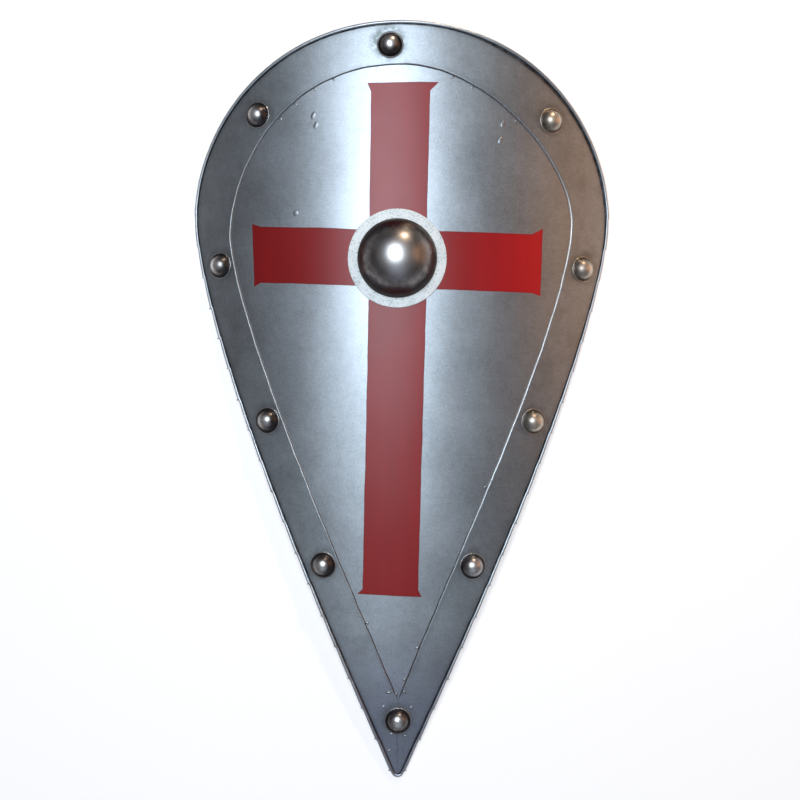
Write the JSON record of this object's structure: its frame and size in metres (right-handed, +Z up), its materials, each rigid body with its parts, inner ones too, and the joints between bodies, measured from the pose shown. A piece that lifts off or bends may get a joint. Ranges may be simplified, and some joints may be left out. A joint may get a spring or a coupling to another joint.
{
  "type": "kite shield",
  "caption": "Long kite shield of bent sheet steel with a studded border band, a round boss, a painted red cross and two leather straps behind.",
  "frame": {"origin": "on the ground, below the middle of the box round the shield as it lies", "axes": "the shield lies face up; +Z up out of its front, +Y from the point to the crown, +X to the right as seen from the front; the bend's axis is tipped 6.6 degrees, crown up, so that both side edges and the point touch the ground"},
  "size_m": [0.4964, 0.8592, 0.1107],
  "materials": {
    "painted_steel": "satin bare steel, with a red painted cross on the front that is colour only",
    "band_steel": "satin bare steel, a little darker than the face",
    "ring_steel": "bright satin steel",
    "dark_steel": "dark burnished steel",
    "pad_steel": "plain mill finish",
    "strap_leather": "dark brown strap leather"
  },
  "bodies": {
    "root": {"face_plate": "painted_steel", "border_band": "band_steel", "boss_ring": "ring_steel", "boss": "dark_steel", "stud_01": "dark_steel", "stud_02": "dark_steel", "stud_03": "dark_steel", "stud_04": "dark_steel", "stud_05": "dark_steel", "stud_06": "dark_steel", "stud_07": "dark_steel", "stud_08": "dark_steel", "stud_09": "dark_steel", "stud_10": "dark_steel", "arm_strap": "strap_leather", "hand_strap": "strap_leather", "arm_strap_pad_top": "pad_steel", "arm_strap_pad_bottom": "pad_steel", "hand_strap_pad_top": "pad_steel", "hand_strap_pad_bottom": "pad_steel", "arm_strap_rivet_top": "dark_steel", "arm_strap_rivet_bottom": "dark_steel", "hand_strap_rivet_top": "dark_steel", "hand_strap_rivet_bottom": "dark_steel"}
  },
  "joints": []
}
